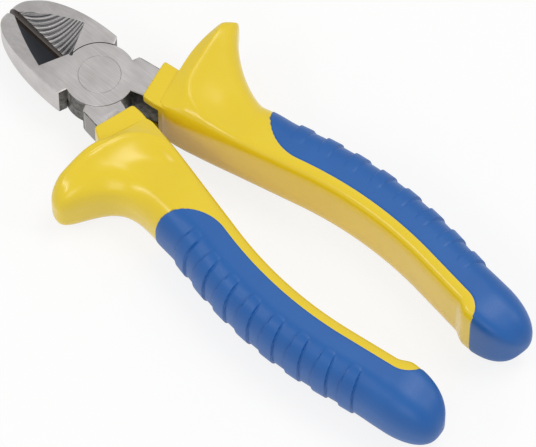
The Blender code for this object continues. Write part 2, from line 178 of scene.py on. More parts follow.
def placeHalf(mesh, side):
    # a half is modelled with the jaws shut, then turned open about the rivet and lifted to its height
    turn = Matrix.Rotation(math.radians(-side * joint["restOpening"] / 2), 4, "Z")
    mesh.transform(Matrix.Translation((0.0, 0.0, halfHead * mm)) @ turn)


def finishPiece(name, mesh, side, body, node):
    # in place on its half, smooth but for its edges, riding on its half's body, with the CAD node that it
    # stands for hidden
    placeHalf(mesh, side)
    mesh.polygons.foreach_set("use_smooth", np.ones(len(mesh.polygons), dtype=bool))
    mesh.set_sharp_from_angle(angle=sharpAngle)
    piece = addPiece(name, mesh)
    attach(piece, body)
    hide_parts(node)
    print(name, len(mesh.polygons), "faces")
    return piece


jaw = {
    "length": 32.8,
    "width": 11.1,
    "shoulderAngle": 69.0,
    "frontCorner": 0.12,  # rounding of the shoulder's corner, front half
    "backCorner": 1.6,
    "edgeGap": 0.15,  # from the centre line to the cutting edge, shut
    "leastWidth": 0.02,  # what is left of the jaw at its very tip
    "reliefStart": 9.0,
    "reliefRadius": 71.0,
    "noseLength": 2.6,
    "noseDrop": 3.6,
    "noseStop": 1.55,  # radians round the nose, just short of a quarter turn
    "pocketStart": 9.6,
    "pocketStep": 0.004,  # the places beside the pocket's start stand this far from it
    "pocketDepth": 7.7,
    "pocketRim": 0.3,  # steel that stays outside the pocket
    "edgeRise": 13.0,
    "bevelAngle": 39.0,
    "wallLean": 25.0,
    "edgeRound": 0.1,
    "noseRound": 1.2,
    "noseEase": (25.0, 6.0),  # where the edge round starts to grow to the nose round, and over what length
    "roundShare": 0.45,  # a round takes no more of a narrow face than this
    "fluteStart": 12.3,  # the flutes fan out from here, at the foot of the pocket's back wall
    "fluteSpacing": 1.41,
    "fluteSpread": 0.155,  # how fast they close up away from the edge
    "fluteWiden": 0.0115,  # how fast they get wider towards the tip
    "fluteDepth": 0.15,
    "fineShare": 0.3,  # fine wheel marks inside the flutes
    "fineRate": 2.6,
    "notchPlace": (9.5, 0.32),
    "notchRadius": 0.5,
    "notchSegments": 24,
    "places": (40, 210, 24),  # along the back, the pocket and the nose
    "bevelPoints": 44,
    "topPoints": 7,
    "roundPoints": 7,
    "landPoints": 5,
}


def jawStations():
    # places along the jaw, close together over the pocket and closing up round the nose
    backCount, pocketCount, noseCount = jaw["places"]
    nose = jaw["length"] - jaw["noseLength"]
    back = np.linspace(joint["rootStart"], jaw["pocketStart"] - jaw["pocketStep"], backCount)
    pocket = np.linspace(jaw["pocketStart"] + jaw["pocketStep"], nose, pocketCount)
    tip = nose + jaw["noseLength"] * np.sin(np.linspace(0.0, jaw["noseStop"], noseCount)[1:])
    return np.concatenate((back, pocket, tip))


def jawTop(x):
    # height over the mid plane: flat, then an arc falling to the tip, then a quarter ellipse round the nose
    fall = np.maximum(x - jaw["reliefStart"], 0.0)
    arc = halfHead - jaw["reliefRadius"] + np.sqrt(jaw["reliefRadius"] ** 2 - fall**2)
    past = np.clip((x - jaw["length"]) / jaw["noseLength"] + 1, 0.0, 1.0)
    return arc - jaw["noseDrop"] * circleFall(past)


def jawSide(x, corner):
    # half width: the shoulder's line from the rivet, then a quarter ellipse to the tip, the corner rounded
    slope = slopeOf(jaw["shoulderAngle"])
    start = jaw["width"] / slope
    share = np.clip((x - start) / (jaw["length"] - start), 0.0, 1.0)
    ellipse = jaw["width"] * np.sqrt(1 - share**2)
    return np.maximum(softMin(x * slope, ellipse, corner), jaw["edgeGap"] + jaw["leastWidth"])


def fluteNumber(x, y):
    # counts the flutes: distance from their start, stretched away from the edge, so that the ridges fan back
    reach = (x - jaw["fluteStart"]) * (1 + jaw["fluteSpread"] * y)
    return reach / jaw["fluteSpacing"] * (1 - jaw["fluteWiden"] * reach)


def flutes(x, y):
    # 0 on a ridge and 1 in a valley: the size of a sine of the flute number, with finer marks inside
    number = math.pi * fluteNumber(x, y)
    fine = np.sin(jaw["fineRate"] * number) ** 2
    return (1 - jaw["fineShare"]) * np.abs(np.sin(number)) + jaw["fineShare"] * fine


def bevelHeight(x, y):
    # plane of the bevel: it rises towards the tip along the edge, and away from the edge
    rise = slopeOf(jaw["edgeRise"])
    slope = slopeOf(jaw["bevelAngle"])
    return halfHead - jaw["pocketDepth"] + rise * (x - jaw["pocketStart"]) + slope * y


def pocketSide(x, fluted, corner):
    # where the pocket ends across the jaw: the bevel meets the top face, or the upright wall stands first
    slope = slopeOf(jaw["bevelAngle"])
    meet = (jawTop(x) - bevelHeight(x, 0.0)) / slope
    wavy = meet + fluted * jaw["fluteDepth"] * flutes(x, meet) / slope
    wall = (x - jaw["pocketStart"]) / slopeOf(jaw["wallLean"])
    reach = np.where(meet > jaw["edgeGap"], np.minimum(wavy, wall), 0.0)
    most = np.maximum(jawSide(x, corner) - jaw["pocketRim"], jaw["edgeGap"])
    return np.clip(reach, jaw["edgeGap"], most)


def jawMesh(side, fluted, corner):
    # rings across the jaw, one for each place along it: land, bevel, top face, edge round, side, back face
    x = jawStations()[:, None]
    edge = jaw["edgeGap"]
    top, outer, pocket = jawTop(x), jawSide(x, corner), pocketSide(x, fluted, corner)
    roundness = jaw["edgeRound"] + (jaw["noseRound"] - jaw["edgeRound"]) * ramp(x, *jaw["noseEase"])
    roundness = np.minimum(roundness, np.minimum(outer - pocket, top + halfHead) * jaw["roundShare"])
    backRound = np.minimum(jaw["edgeRound"], (outer - edge) * jaw["roundShare"])

    bevelY = edge + np.linspace(0.0, 1.0, jaw["bevelPoints"]) * (pocket - edge)
    bevelZ = bevelHeight(x, bevelY) - fluted * jaw["fluteDepth"] * flutes(x, bevelY)
    bevelZ = np.where(x > jaw["pocketStart"], np.minimum(bevelZ, top), top)
    topY = pocket + np.linspace(0.0, 1.0, jaw["topPoints"])[:-1] * (outer - roundness - pocket)
    angle = quarterTurn(jaw["roundPoints"])
    roundY = outer - roundness * (1 - np.sin(angle))
    roundZ = top - roundness * (1 - np.cos(angle))
    backY = outer - backRound * (1 - np.cos(angle))
    backZ = -halfHead + backRound * (1 - np.sin(angle))
    landZ = -halfHead + np.linspace(0.0, 1.0, jaw["landPoints"])[:-1] * (bevelZ[:, :1] + halfHead)

    y = np.hstack((edge + 0 * landZ, bevelY, topY, roundY, backY))
    z = np.hstack((landZ, bevelZ, top + 0 * topY, roundZ, backZ))
    return meshFrom("jaw", np.stack((x + 0 * y, -side * y, z), axis=-1))


def notchMesh(side):
    # a small upright cylinder for the relief in the corner where the turning gap runs into the pocket
    middleX, middleY = jaw["notchPlace"]
    angle = wholeTurn(jaw["notchSegments"])
    x = middleX + jaw["notchRadius"] * np.cos(angle)
    y = -side * (middleY + jaw["notchRadius"] * np.sin(angle))
    z = np.array((0.0, halfHead + joint["spare"]))[:, None]
    return meshFrom("notch", np.stack(np.broadcast_arrays(x, y, z), axis=-1))


grip = {
    "shankAngle": 12.5,
    "shankLength": 13.3,  # from the rivet to the collar's front
    "shankOffset": 4.4,
    "bendStart": 46.0,
    "bendRadius": 113.0,
    "bendAngle": 21.5,
    "length": 120.5,
    "halfThickness": 9.9,
    "inner": 7.9,
    "outer": 7.5,
    "outerTaper": 1.2,
    "taperEnd": 107.4,
    "innerSquareness": 6.0,
    "outerSquareness": 2.4,
    "lipStart": 102.3,
    "lipLength": 4.5,
    "lipStep": 1.4,
    "buttLength": 14.5,
    "innerButt": 18.0,  # the butt closes sooner on its inner side
    "outerButt": 13.0,
    "buttSquareness": 2.25,
}


def alongGrip(along, outward, height, side):
    # a point at a distance along the grip path and out from it, as seen from the rivet:
    # the path runs straight, round an arc, then straight again, and leans out from the tool's centre line
    bend, radius = math.radians(grip["bendAngle"]), grip["bendRadius"]
    past = along - grip["bendStart"]
    turned = np.clip(past / radius, 0.0, bend)
    tail = np.maximum(past - radius * bend, 0.0)
    straight = np.minimum(along, grip["bendStart"])
    back = straight + radius * np.sin(turned) + tail * np.cos(turned) + outward * np.sin(turned)
    out = -radius * (1 - np.cos(turned)) - tail * np.sin(turned) + outward * np.cos(turned)
    lean = math.radians(grip["shankAngle"])
    back, out = back + grip["shankLength"], out + grip["shankOffset"]
    x = -back * math.cos(lean) + out * math.sin(lean)
    y = side * (back * math.sin(lean) + out * math.cos(lean))
    return np.stack(np.broadcast_arrays(x, y, height), axis=-1)


shank = {
    "rootWidth": 11.4,
    "width": 8.9,
    "bare": 3.95,
    "overlap": 0.45,
    "shoulderAngle": 111.6,
    "cornerRound": 0.5,
    "tangLength": 92.0,
    "tangTip": 5.0,
    "tangTaperStart": 12.0,
    "edgeRound": 0.4,
    "roundShare": 0.4,  # a round takes no more of the width than this
    "roundPoints": 5,
    "rings": 150,
    "draft": 1.1,  # the inner wall leans out towards its back edge, as a forging's does
    "draftIn": (-4.0, 2.5),  # where the lean starts along the shank, and over what length
    "draftOut": (8.0, 6.0),  # and where it ends
    "dimplePlace": (0.0, -0.8),  # along and out from the collar's front
    "dimpleRadius": 2.4,
    "dimpleDepth": 0.15,
    "dimpleLid": 0.05,  # how far the dimple's cutter stands over the face at its rim
    "dimpleRings": 12,
    "dimpleSegments": 48,
}


def shankSides(along):
    # half widths outward and inward: shoulder line, then a taper, then a slimmer taper along the tang
    widening = shank["rootWidth"] - shank["width"]
    straight = (shank["width"] - widening * along / grip["shankLength"]) / 2
    share = ramp(along, shank["tangTaperStart"], shank["tangLength"] - shank["tangTaperStart"])
    tang = (shank["width"] + (shank["tangTip"] - shank["width"]) * share) / 2
    half = np.where(along < 0, straight, tang)
    fromPivot = along + grip["shankLength"]
    slope = slopeOf(180 - shank["shoulderAngle"] - grip["shankAngle"])
    outer = softMin(half, fromPivot * slope - grip["shankOffset"], shank["cornerRound"])
    root = grip["shankLength"] - shank["bare"] - shank["overlap"]
    rootHalf = (shank["width"] + widening * (1 - root / grip["shankLength"])) / 2
    towardPivot = grip["shankOffset"] + (rootHalf - grip["shankOffset"]) * fromPivot / root
    inner = np.where(fromPivot < root, towardPivot, half)
    return outer, inner


def roundedRing(low, high, halfHeight, roundness):
    # outline of a bar from low to high and of a half height, with its four edges rounded
    angle = quarterTurn(shank["roundPoints"])
    outer = high - roundness * (1 - np.cos(angle))
    inner = low + roundness * (1 - np.cos(angle))
    upper = halfHeight - roundness * (1 - np.sin(angle))
    across = np.hstack((outer, inner[:, ::-1], inner, outer[:, ::-1]))
    height = np.hstack((upper, upper[:, ::-1], -upper, -upper[:, ::-1]))
    return across, height


def shankMesh(side, gap, start, end):
    # a rounded bar whose sides follow the shank and the tang, carried along the grip path
    along = np.linspace(start, end, shank["rings"])[:, None]
    outer, inner = shankSides(along)
    roundness = np.minimum(shank["edgeRound"], (outer + inner) * shank["roundShare"])
    across, height = roundedRing(-inner - gap, outer + gap, halfHead + gap + 0 * along, roundness)
    drafted = ramp(along, *shank["draftIn"]) * (1 - ramp(along, *shank["draftOut"]))
    across = across - shank["draft"] * drafted * (across < 0) * (1 - height / halfHead) / 2
    return meshFrom("shank", alongGrip(along, across, height, side))


def dimpleMesh(side):
    # a shallow lens, as a ball pressed into the top of the shank would leave it
    radius, depth = shank["dimpleRadius"], shank["dimpleDepth"]
    share = np.linspace(0.0, 1.0, shank["dimpleRings"])[:, None]
    angle = wholeTurn(shank["dimpleSegments"])
    out = radius * np.vstack((share, share[::-1]))
    bowl = halfHead - depth * (1 - share**2)
    lid = halfHead + depth * (1 - share[::-1] ** 2) + shank["dimpleLid"]
    height = np.vstack((bowl, lid)) + 0 * angle
    along, outward = shank["dimplePlace"]
    spots = alongGrip(along + out * np.cos(angle), outward + out * np.sin(angle), height, side)
    return meshFrom("dimple", spots, capped=False)


rivet = {
    "headRadius": 5.5,
    "bodyRadius": 4.0,
    "headDepth": 1.6,
    "gap": 0.08,
    "edgeRound": 0.07,
    "segments": 160,
}


def bothHeads(name, upper):
    # the upper half of a profile and its mirror image below the mid plane, turned round the axis
    lower = [(radius, -height) for radius, height in reversed(upper)]
    return turnedMesh(name, lower + upper, rivet["segments"])


def rivetHole():
    # countersunk from both faces, and open past them
    top = halfHead + joint["spare"]
    wide, narrow = rivet["headRadius"] + rivet["gap"], rivet["bodyRadius"] + rivet["gap"]
    neck = halfHead - rivet["headDepth"]
    return bothHeads("hole", [(narrow, neck), (wide, halfHead), (wide, top), (0.0, top)])


def rivetMesh():
    # countersunk heads ground flush on both faces, their rims broken
    neck, soft = halfHead - rivet["headDepth"], rivet["edgeRound"]
    upper = [
        (rivet["bodyRadius"], neck),
        (rivet["headRadius"], halfHead - soft),
        (rivet["headRadius"] - soft, halfHead),
        (0.0, halfHead),
    ]
    return bothHeads("rivet", upper)


def discMesh(side):
    # half of the lap joint: front layer or back layer, its outer rim broken
    lap, face = -side * joint["lapGap"] / 2, -side * halfHead
    radius, soft = joint["discRadius"], joint["edgeRound"]
    profile = [(0.0, face), (radius - soft, face), (radius, face + side * soft), (radius, lap), (0.0, lap)]
    return turnedMesh("disc", profile, joint["segments"])


def turningSpace(side):
    # the recess for the other half's disc
    low, high = sorted((-side * joint["lapGap"] / 2, side * (halfHead + joint["spare"])))
    radius = joint["discRadius"] + joint["turningGap"]
    return turnedMesh("space", [(0.0, low), (radius, low), (radius, high), (0.0, high)], joint["segments"])


def srgb(text):
    # a hex colour as the linear values that shaders take
    part = np.array([int(text[i : i + 2], 16) for i in (1, 3, 5)]) / 255
    linear = np.where(part <= 0.04045, part / 12.92, ((part + 0.055) / 1.055) ** 2.4)
    return (*linear.tolist(), 1.0)


def perMetre(size):
    # pattern scale for features of the given size in millimetres
    return 1 / (size * mm)


def addNode(tree, kind, inputs, output=0, **settings):
    # one shader node with its settings, giving the socket to link on from;
    # an input is a value, a hex colour or a socket to link from
    node = tree.nodes.new("ShaderNode" + kind)
    for name, value in settings.items():
        setattr(node, name, value)
    for name, value in inputs.items():
        if isinstance(value, bpy.types.NodeSocket):
            tree.links.new(value, node.inputs[name])
        else:
            node.inputs[name].default_value = srgb(value) if isinstance(value, str) else value
    return node.outputs[output] if node.outputs else None


def newMaterial(name):
    material = bpy.data.materials.new(name)
    material.use_nodes = True
    material.node_tree.nodes.clear()
    return material, material.node_tree


def pickTone(tree, value, span, tones):
    # the first tone where the value is at the span's start, turning into the second at its end
    share = addNode(tree, "MapRange", {"Value": value, "From Min": span[0], "From Max": span[1]})
    both = {"Factor": share, "A": tones[0], "B": tones[1]}
    return addNode(tree, "Mix", both, output="Result", data_type="RGBA")


def finishMaterial(tree, inputs):
    addNode(tree, "OutputMaterial", {"Surface": addNode(tree, "BsdfPrincipled", inputs)})


# chrome vanadium steel, flat ground on a belt: pale warm grey, satin, with fine lines along the tool
groundLook = {
    "face": ("#989594", "#b5b2b1"),  # across the grain, dark to pale
    "wall": ("#bbb7b6", "#dad6d5"),  # painted light: the jaws' outer walls take paler tones, as they catch more light
    "wallShade": "#8f8b88",  # painted shade on the shank's side and the disc's rim
    "line": (9.0, 0.34, 0.34),  # belt lines are nearer 0.05 mm wide; drawn coarser so that they show
    "lineDetail": 4.0,
    "lineHarshness": 0.65,
    "lineHeight": 0.006,
    "lineStrength": 0.3,
    "cloud": (7.0, 5.0, 5.0),
    "cloudDetail": 2.0,
    "contrast": (0.05, 0.45),  # lines times cloud at the dark tone and at the pale one
    "roughness": (0.3, 0.42),
}


def groundSteelMaterial(name, tones):
    # two noises multiplied, one drawn out into lines and one in clouds, pick the tone;
    # the lines also vary the gloss and stand out a little
    look = groundLook
    material, tree = newMaterial(name)
    place = addNode(tree, "TexCoord", {}, output="Object")
    scale = [perMetre(size) for size in look["line"]]
    stretched = addNode(tree, "Mapping", {"Vector": place, "Scale": scale})
    noise = {"Vector": stretched, "Scale": 1.0, "Detail": look["lineDetail"]}
    lines = addNode(tree, "TexNoise", {**noise, "Roughness": look["lineHarshness"]})
    scale = [perMetre(size) for size in look["cloud"]]
    wide = addNode(tree, "Mapping", {"Vector": place, "Scale": scale})
    cloud = addNode(tree, "TexNoise", {"Vector": wide, "Scale": 1.0, "Detail": look["cloudDetail"]})
    both = addNode(tree, "Math", {0: lines, 1: cloud}, operation="MULTIPLY")
    colour = pickTone(tree, both, look["contrast"], tones)
    # painted shade on the shank's side and the disc's rim
    paintedWallShade = addNode(tree, "Attribute", {}, output="Fac", attribute_name="paintedWallShade")
    sides = {"Factor": paintedWallShade, "A": colour, "B": look["wallShade"]}
    colour = addNode(tree, "Mix", sides, output="Result", data_type="RGBA")
    low, high = look["roughness"]
    rough = addNode(tree, "MapRange", {"Value": lines, "To Min": low, "To Max": high})
    scratch = {"Height": lines, "Strength": look["lineStrength"], "Distance": look["lineHeight"] * mm}
    bump = addNode(tree, "Bump", scratch)
    finishMaterial(tree, {"Base Color": colour, "Metallic": 1.0, "Roughness": rough, "Normal": bump})
    return material


# bevel steel with painted light: painted shade on the plain bevel in place of its dark reflection, a painted
# brown reflection beside the cutting edge, and painted highlight and shade across the flutes, ridges lit and
# valleys dark
bevelLightLook = {
    # painted shade: the plain bevel darkened as in its dark reflection
    "plainBevelShade": "#44474d",
    # painted reflection: the brown band beside the cutting edge
    "brown": "#443830",
    # painted highlight on the flute ridges and painted shade in the valleys
    "litRidge": "#8b8988",
    "shadedValley": "#38383b",
    "plainBelow": 0.001,  # the painted flute light is 0 on a plain bevel
    "fluteLightMarks": (0.1, 0.95),  # painted flute light at the shaded valley colour and at the lit ridge colour
    "reflectionMarks": (0.1, 0.4),  # painted reflection mark times cloud where the brown starts and where it is full
    "cloud": 1.5,
    "cloudDetail": 3.0,
    "roughness": 0.36,
}


def bevelLightMaterial():
    # the painted flute light picks the tone of a fluted bevel, a plain bevel takes its painted shade, and the
    # painted brown reflection, broken by a noise, is laid along the edge
    look = bevelLightLook
    material, tree = newMaterial("bevelSteelPaintedLight")
    place = addNode(tree, "TexCoord", {}, output="Object")
    noise = {"Vector": place, "Scale": perMetre(look["cloud"]), "Detail": look["cloudDetail"]}
    cloud = addNode(tree, "TexNoise", noise)
    # painted highlight and shade of the flutes, and the painted brown reflection along the edge
    fluteLightAndShade = addNode(tree, "Attribute", {}, output="Fac", attribute_name="fluteLightAndShade")
    edge = addNode(tree, "Attribute", {}, output="Fac", attribute_name="edgeReflection")
    fluted = pickTone(tree, fluteLightAndShade, look["fluteLightMarks"], (look["shadedValley"], look["litRidge"]))
    isFluted = addNode(tree, "Math", {0: fluteLightAndShade, 1: look["plainBelow"]}, operation="GREATER_THAN")
    # a plain bevel takes its painted shade
    bevels = {"Factor": isFluted, "A": look["plainBevelShade"], "B": fluted}
    bevel = addNode(tree, "Mix", bevels, output="Result", data_type="RGBA")
    # the painted brown reflection is broken by a noise
    reflectionShare = addNode(tree, "Math", {0: edge, 1: cloud}, operation="MULTIPLY")
    colour = pickTone(tree, reflectionShare, look["reflectionMarks"], (bevel, look["brown"]))
    finishMaterial(tree, {"Base Color": colour, "Metallic": 1.0, "Roughness": look["roughness"]})
    return material


# painted shade on the forgings' upright walls and the shank's sloped edge: dark, as where they reflect shade,
# slightly mottled
shadedWallLook = {
    "tones": ("#474642", "#797774"),
    "mottle": 1.2,
    "mottleDetail": 4.0,
    "contrast": (0.35, 0.7),  # noise at the dark tone and at the pale one
    "roughness": 0.42,
}


def shadedWallMaterial():
    # a noise picks between two tones
    look = shadedWallLook
    material, tree = newMaterial("steelWallsPaintedShade")
    place = addNode(tree, "TexCoord", {}, output="Object")
    noise = {"Vector": place, "Scale": perMetre(look["mottle"]), "Detail": look["mottleDetail"]}
    mottle = addNode(tree, "TexNoise", noise)
    colour = pickTone(tree, mottle, look["contrast"], look["tones"])
    finishMaterial(tree, {"Base Color": colour, "Metallic": 1.0, "Roughness": look["roughness"]})
    return material


# polypropylene handle core, injection moulded in a polished tool: glossy yellow, soft highlights
yellowLook = {
    "name": "mouldedYellowPolypropylene",
    "tones": ("#ebcd28", "#e4c51e"),
    "cloud": 14.0,
    "cloudDetail": 2.0,
    "relief": 2.2,  # faint flow ripple of the moulding
    "reliefDetail": 3.0,
    "reliefHeight": 0.01,
    "reliefStrength": 0.3,
    "roughness": (0.18, 0.26),
    "ior": 1.49,
}
# thermoplastic elastomer moulded over the core: satin blue with a fine spark-eroded grain
blueLook = {
    "name": "mouldedBlueElastomer",
    "tones": ("#08539c", "#125da6"),
    "cloud": 9.0,
    "cloudDetail": 3.0,
    "relief": 0.5,  # the real grain is nearer 0.1 mm; drawn coarser so that it shows
    "reliefDetail": 2.0,
    "reliefHeight": 0.03,
    "reliefStrength": 0.35,
    "roughness": (0.36, 0.48),
    "ior": 1.47,
}


def mouldedPlasticMaterial(look):
    # two tones in wide clouds, and a fine relief that also varies the gloss
    material, tree = newMaterial(look["name"])
    place = addNode(tree, "TexCoord", {}, output="Object")
    noise = {"Vector": place, "Scale": perMetre(look["cloud"]), "Detail": look["cloudDetail"]}
    cloud = addNode(tree, "TexNoise", noise)
    tones = {"Factor": cloud, "A": look["tones"][0], "B": look["tones"][1]}
    colour = addNode(tree, "Mix", tones, output="Result", data_type="RGBA")
    noise = {"Vector": place, "Scale": perMetre(look["relief"]), "Detail": look["reliefDetail"]}
    relief = addNode(tree, "TexNoise", noise)
    low, high = look["roughness"]
    rough = addNode(tree, "MapRange", {"Value": relief, "To Min": low, "To Max": high})
    height = {"Height": relief, "Strength": look["reliefStrength"], "Distance": look["reliefHeight"] * mm}
    bump = addNode(tree, "Bump", height)
    finishMaterial(tree, {"Base Color": colour, "Roughness": rough, "IOR": look["ior"], "Normal": bump})
    return material


groundSteel = groundSteelMaterial("groundChromeVanadiumSteel", groundLook["face"])
# painted light: the same steel in paler tones for the jaws' lit outer walls
litWallSteel = groundSteelMaterial("groundSteelPaintedLitWall", groundLook["wall"])
bevelLightSteel = bevelLightMaterial()
shadedWallSteel = shadedWallMaterial()
yellowPlastic = mouldedPlasticMaterial(yellowLook)
bluePlastic = mouldedPlasticMaterial(blueLook)
# hardened names the bevel steel with painted light here, and forged the steel with painted shade on its walls
print("materials: ground, hardened and forged steel, yellow and blue plastic")

# where a forging takes the ground steel, the bevel's painted light, the painted shade of its walls or the
# paler painted light of the jaws' outer walls: x runs to the tip and y to the jaw's outer side
steelZones = {
    "pocketBack": 0.5,  # slack behind the pocket, beside it, under the top face and over the back face
    "pocketBeside": 0.05,
    "pocketUnder": 0.03,
    "pocketOver": 0.02,
    "uprightRise": 0.3,  # a wall's normal rises less than this
    "jawWallStart": 2.0,
    "jawWallDepth": 0.4,
    "jawWallFacing": -0.5,  # and its normal points back less than this
    "shankStart": -5.0,  # behind this and outside shankSide is the shank's outer wall
    "shankSide": -4.0,
    "shankWallFacing": -0.3,
    "shankEdgeFacing": -0.2,
    "shankEdgeRise": (0.3, 0.97),
    "wallShadeEdge": 0.2,  # how far under a face the painted shade on the shank's side starts
    "wallShadeTop": 0.02,
    "wallShadeShare": 0.9,
}
# painted light on the bevels
bevelPaintedLight = {
    "middle": 0.5,  # painted brightness halfway between lit ridge and shaded valley
    "litRidge": 0.38,
    "lightStreak": 0.2,  # uneven streaks in the painted light that cross the ridges
    "streakRates": (5.3, 14.2),
    "streakShift": 0.6,
    "edgeHighlightLevel": 0.35,  # painted highlight along the cutting edge
    "edgeWidth": 1.2,
    "least": 0.01,
    "reflectionWidth": 1.1,  # painted brown reflection along the plain bevel's edge
    "reflectionBlur": 0.2,
}


def readVectors(source, name):
    # a vector of every face or point, as three rows
    values = np.empty(len(source) * 3)
    source.foreach_get(name, values)
    return values.reshape(-1, 3).T


def addMark(mesh, name, values):
    mark = mesh.attributes.new(name, "FLOAT", "POINT")
    mark.data.foreach_set("value", values.astype(np.float32))


def finishSteel(mesh, side, fluted, corner):
    # ground all over; the pocket and the lands take the bevel's painted light, upright walls on the joint and
    # inner sides and the shank's sloped edge a painted shade, and the jaws' outer walls a paler painted light
    for material in (groundSteel, bevelLightSteel, shadedWallSteel, litWallSteel):  # kinds 0 to 3
        mesh.materials.append(material)
    zone = steelZones
    x, y, z = readVectors(mesh.polygons, "center") / mm
    normalX, normalY, normalZ = readVectors(mesh.polygons, "normal")
    y, normalY = -side * y, -side * normalY
    pocket = (x > jaw["pocketStart"] - zone["pocketBack"]) & (y > 0)
    pocket = pocket & (y < pocketSide(x, fluted, corner) + zone["pocketBeside"])
    pocket = pocket & (z < jawTop(x) - zone["pocketUnder"]) & (z > -halfHead + zone["pocketOver"])
    upright = np.abs(normalZ) < zone["uprightRise"]
    jawWall = (x > zone["jawWallStart"]) & (y > jawSide(x, corner) - zone["jawWallDepth"])
    jawWall = jawWall & (normalX > zone["jawWallFacing"])
    onShank = (x < zone["shankStart"]) & (y < zone["shankSide"])
    shankWall = onShank & (normalY < zone["shankWallFacing"])
    lowRise, highRise = zone["shankEdgeRise"]
    shankEdge = onShank & (normalY < zone["shankEdgeFacing"]) & (normalZ > lowRise) & (normalZ < highRise)
    # painted shade on upright walls and on the shank's sloped edge; painted light on the jaws' outer walls
    shadedWalls = (upright & ~jawWall & ~shankWall) | shankEdge
    kind = np.where(pocket, 1, np.where(shadedWalls, 2, np.where(upright & jawWall, 3, 0)))
    mesh.polygons.foreach_set("material_index", kind.astype(np.int32))
    paintLightOnSteel(mesh, side, fluted)


def paintLightOnSteel(mesh, side, fluted):
    # painted light that the materials read: lit ridges and shaded valleys as a cosine of the flute number, a
    # painted highlight and a painted brown reflection along the edge, and painted shade on the shank's side
    # and the disc's rim
    x, y, z = readVectors(mesh.vertices, "co") / mm
    y = -side * y
    number = fluteNumber(x, y)
    # painted highlight and shade across the flutes
    slow, quick = bevelPaintedLight["streakRates"]
    lightStreak = np.sin(slow * number + bevelPaintedLight["streakShift"]) * np.cos(quick * number)
    wave = bevelPaintedLight["middle"] + bevelPaintedLight["litRidge"] * np.cos(2 * math.pi * number)
    wave = wave + bevelPaintedLight["lightStreak"] * lightStreak
    edgeHighlight = bevelPaintedLight["edgeHighlightLevel"] * (1 - ramp(y, jaw["edgeGap"], bevelPaintedLight["edgeWidth"]))
    addMark(mesh, "fluteLightAndShade", fluted * np.clip(wave + edgeHighlight, bevelPaintedLight["least"], 1.0))
    # painted brown reflection along the edge, wider on the plain bevel
    reflectionEnd = jaw["edgeGap"] + (1 - fluted) * bevelPaintedLight["reflectionWidth"]
    addMark(mesh, "edgeReflection", 1 - ramp(y, reflectionEnd, bevelPaintedLight["reflectionBlur"]))
    # painted shade on the shank's side and the disc's rim
    zone = steelZones
    under = halfHead - zone["wallShadeEdge"]
    wall = (x < zone["shankStart"]) & (y < zone["shankSide"]) & (np.abs(z) < under)
    rim = (x < -joint["discRadius"]) & (y < 0) & (z < halfHead - zone["wallShadeTop"]) & (z > under)
    addMark(mesh, "paintedWallShade", zone["wallShadeShare"] * (wall | rim))


def forgingPiece(name, side, fluted, corner, body, node):
    # jaw and shank joined, cleared for the other half's disc, given its own disc, then bored and marked
    bar = shankMesh(side, 0.0, joint["rootStart"] - grip["shankLength"], shank["tangLength"])
    mesh = carve(jawMesh(side, fluted, corner), "UNION", bar)
    mesh = carve(mesh, "DIFFERENCE", turningSpace(side))
    mesh = carve(mesh, "UNION", discMesh(side))
    mesh = carve(mesh, "DIFFERENCE", rivetHole())
    mesh = carve(mesh, "DIFFERENCE", dimpleMesh(side) if side > 0 else notchMesh(side))
    finishSteel(mesh, side, fluted, corner)
    piece = finishPiece(name, mesh, side, body, node)
    piece.modifiers.new("evenShade", "WEIGHTED_NORMAL").keep_sharp = True


# side is -1 for the half with the far grip and 1 for the half with the near one
forgingPiece("frontForging", -1, 0, jaw["frontCorner"], "front_half", "front_forging")
forgingPiece("backForging", 1, 1, jaw["backCorner"], "back_half", "back_forging")
rivetShape = rivetMesh()
rivetShape.materials.append(groundSteel)
finishPiece("pivotRivet", rivetShape, -1, "front_half", "pivot_rivet")

guard = {
    "start": 4.9,
    "round": 3.4,
    "innerWaist": 0.9,  # how much narrower the inner side is at the guard
    "reach": 25.1,
    "farLength": 21.0,  # the far horn falls away almost straight
    "farLead": 1.0,  # from this far before the guard's peak
    "farFall": 1.4,
    "farLean": 3.5,  # how far the horn's tip leans back
    "nearLength": 7.2,  # the near horn is rounder
    "nearFall": 3.0,
    "nearLean": 1.9,
    "leanFrom": 8.0,
    "leanLength": 16.0,
    "innerSquareness": 3.8,  # the inner edge of the sloped face is rounder beside the guard
    "rounderFrom": (5.0, 7.0),  # start along the grip and length of that stretch's two ends
    "rounderTo": (13.0, 16.0),
    "innerSquaring": 1.6,  # and that of the lipped face squarer
    "slopeStart": 4.7,
    "startPull": 0.0013,
    "leastSlope": 0.8,  # the slope is no shorter than this
    "swingFrom": 7.0,  # inward of this the slope and its crest swing back
    "collarSide": (3.0, 6.0),  # start and length, outward, of the change from foot to hornFoot
    "hornTip": (10.0, 14.0),  # and from hornFoot to tipFoot
    "beadWidth": 0.55,
    "beadEnd": (26.0, -12.0),  # the bead fades out before this, over this length
    "land": 1.2,  # from the crest to the dish
    "dishEnd": (32.0, -14.0),
    "underHorn": (-3.0, 12.0),  # where the dish fades outward
    "innerEdge": (-7.0, 4.0),  # and where dish and bead begin from the inner edge
    "besideTop": (4.0, 5.0),  # and from the mid plane up
}
guard["peak"] = guard["start"] + guard["round"]
